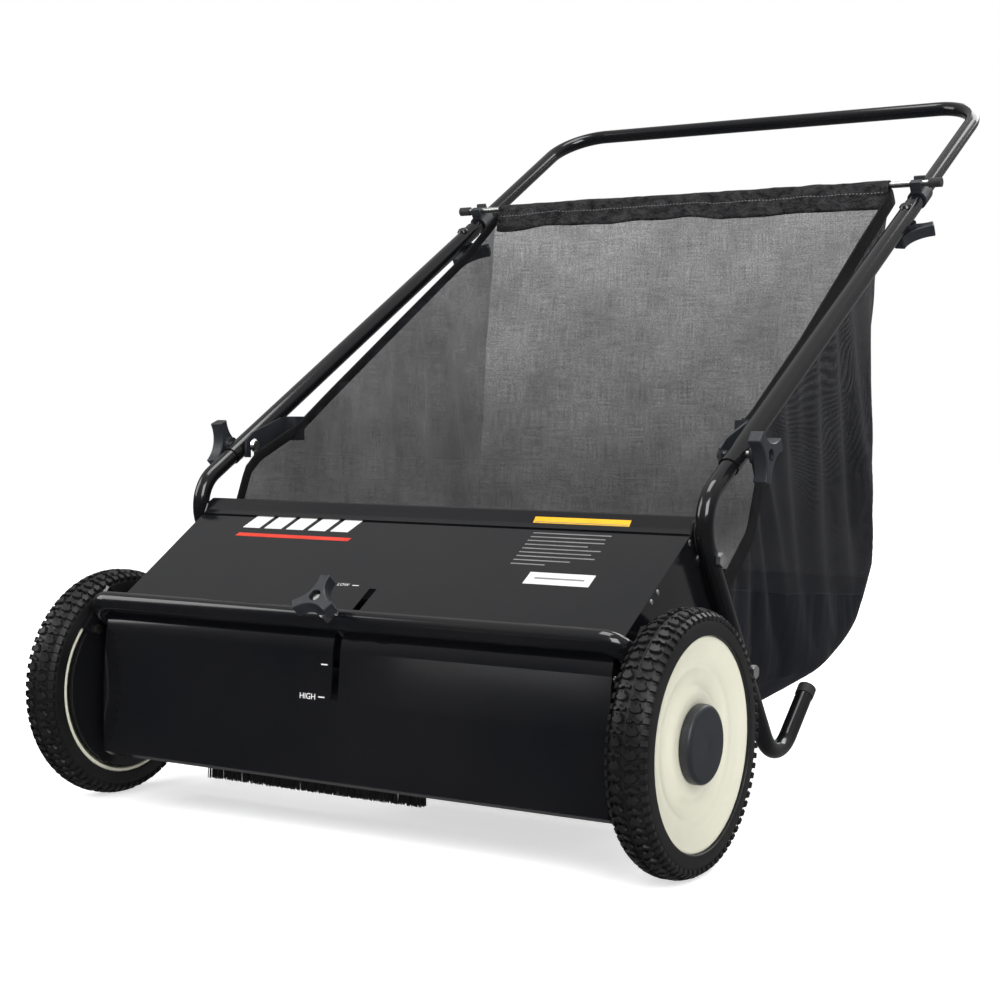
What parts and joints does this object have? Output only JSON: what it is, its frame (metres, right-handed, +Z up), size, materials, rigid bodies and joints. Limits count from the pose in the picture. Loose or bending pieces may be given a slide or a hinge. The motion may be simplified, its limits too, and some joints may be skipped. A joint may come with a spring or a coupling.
{
  "type": "lawn sweeper",
  "caption": "Push lawn sweeper: a wheeled sheet-metal deck with a geared rotary brush, a clamped tube handle and a mesh collecting bag.",
  "frame": {"origin": "on the ground under the middle of the machine's bounding box, with the wheels standing on the ground", "axes": "+X to the operator's left along the wheel axles, +Y to the rear towards the grip, +Z up; the machine drives towards -Y"},
  "size_m": [0.766, 1.1104, 0.856],
  "materials": {
    "deck_paint": "gloss",
    "tube_paint": "gloss",
    "zinc_steel": "bright zinc",
    "knob_plastic": "satin moulded",
    "cap_rubber": "matte",
    "tyre_rubber": "moulded tread",
    "wheel_cream": "satin moulded",
    "gear_nylon": "moulded nylon",
    "brush_plastic": "matte",
    "bristle": "matte filament",
    "bag_mesh": "open woven polyester"
  },
  "bodies": {
    "chassis": {"deck_shell": "deck_paint", "side_plate_left": "deck_paint", "side_plate_right": "deck_paint", "top_rail": "deck_paint", "rear_tie_bar": "deck_paint", "tie_bar_screws": "zinc_steel", "deck_rivets": "zinc_steel", "brush_bush_left": "gear_nylon", "brush_bush_right": "gear_nylon", "lower_handle_left": "tube_paint", "lower_handle_right": "tube_paint", "foot_cap_left": "cap_rubber", "foot_cap_right": "cap_rubber", "plate_bolts": "zinc_steel", "plate_nuts": "zinc_steel", "middle_tube_left": "tube_paint", "middle_tube_right": "tube_paint", "upper_handle": "tube_paint", "lower_knob_bolts": "zinc_steel", "upper_knob_bolts": "zinc_steel", "rod_clip_left": "knob_plastic", "rod_clip_right": "knob_plastic"},
    "height_arm": {"height_bail": "tube_paint", "arm_plate_left": "deck_paint", "arm_plate_right": "deck_paint", "bail_bolts": "zinc_steel", "clamp_bolt": "zinc_steel", "clamp_saddle": "zinc_steel", "axle_left": "zinc_steel", "axle_right": "zinc_steel", "axle_nuts": "zinc_steel", "axle_washers": "zinc_steel"},
    "height_knob": {"height_knob": "knob_plastic"},
    "wheel_left": {"tyre_left": "tyre_rubber", "wheel_disc_left": "wheel_cream", "ring_gear_left": "gear_nylon", "hub_cap_left": "knob_plastic"},
    "wheel_right": {"tyre_right": "tyre_rubber", "wheel_disc_right": "wheel_cream", "ring_gear_right": "gear_nylon", "hub_cap_right": "knob_plastic"},
    "pinion_left": {"pinion_left": "gear_nylon"},
    "pinion_right": {"pinion_right": "gear_nylon"},
    "brush": {"brush_shaft": "zinc_steel", "brush_core": "brush_plastic", "bristle_row_1": "bristle", "bristle_row_2": "bristle", "bristle_row_3": "bristle", "bristle_row_4": "bristle", "ratchet_keys": "zinc_steel", "shaft_clips": "zinc_steel"},
    "lower_knob_left": {"lower_knob_left": "knob_plastic"},
    "lower_knob_right": {"lower_knob_right": "knob_plastic"},
    "upper_knob_left": {"upper_knob_left": "knob_plastic"},
    "upper_knob_right": {"upper_knob_right": "knob_plastic"},
    "bag": {"bag": "bag_mesh", "bag_rod": "zinc_steel", "rod_caps": "cap_rubber", "bag_tab_left": "knob_plastic", "bag_tab_right": "knob_plastic"}
  },
  "joints": [
    {"name": "height_adjust", "type": "hinge", "parent": "chassis", "child": "height_arm", "pos_m": [0, -0.38422, 0.127], "axis": [-1, 0, 0], "range_deg": [-29, 25]},
    {"name": "height_knob_turn", "type": "hinge", "parent": "height_arm", "child": "height_knob", "pos_m": [0, -0.51056, 0.24075], "axis": [0, -0.7431, 0.6691], "range_deg": [0, 450]},
    {"name": "wheel_left_spin", "type": "hinge", "parent": "height_arm", "child": "wheel_left", "pos_m": [0.36, -0.42822, 0.127], "axis": [1, 0, 0], "continuous": true},
    {"name": "wheel_right_spin", "type": "hinge", "parent": "height_arm", "child": "wheel_right", "pos_m": [-0.36, -0.42822, 0.127], "axis": [1, 0, 0], "continuous": true},
    {"name": "pinion_left_spin", "type": "hinge", "parent": "height_arm", "child": "pinion_left", "pos_m": [0.35, -0.38422, 0.127], "axis": [1, 0, 0], "continuous": true},
    {"name": "pinion_right_spin", "type": "hinge", "parent": "height_arm", "child": "pinion_right", "pos_m": [-0.35, -0.38422, 0.127], "axis": [1, 0, 0], "continuous": true},
    {"name": "brush_spin", "type": "hinge", "parent": "chassis", "child": "brush", "pos_m": [0, -0.38422, 0.127], "axis": [1, 0, 0], "continuous": true},
    {"name": "bag_lift", "type": "slide", "parent": "chassis", "child": "bag", "axis": [0, 0, 1], "range_m": [0, 0.3]},
    {"name": "lower_knob_left_turn", "type": "hinge", "parent": "chassis", "child": "lower_knob_left", "pos_m": [0.35, -0.24322, 0.391], "axis": [1, 0, 0], "range_deg": [0, 450]},
    {"name": "upper_knob_left_turn", "type": "hinge", "parent": "chassis", "child": "upper_knob_left", "pos_m": [0.326, 0.25895, 0.65322], "axis": [0, 0.5, -0.866], "range_deg": [0, 450]},
    {"name": "lower_knob_right_turn", "type": "hinge", "parent": "chassis", "child": "lower_knob_right", "pos_m": [-0.35, -0.24322, 0.391], "axis": [-1, 0, 0], "range_deg": [0, 450]},
    {"name": "upper_knob_right_turn", "type": "hinge", "parent": "chassis", "child": "upper_knob_right", "pos_m": [-0.326, 0.25895, 0.65322], "axis": [0, 0.5, -0.866], "range_deg": [0, 450]}
  ],
  "couplings": [
    {"joint": "pinion_left_spin", "follows": "wheel_left_spin", "ratio": 4.1429},
    {"joint": "pinion_right_spin", "follows": "wheel_right_spin", "ratio": 4.1429},
    {"joint": "brush_spin", "follows": "wheel_left_spin", "ratio": 4.1429}
  ]
}
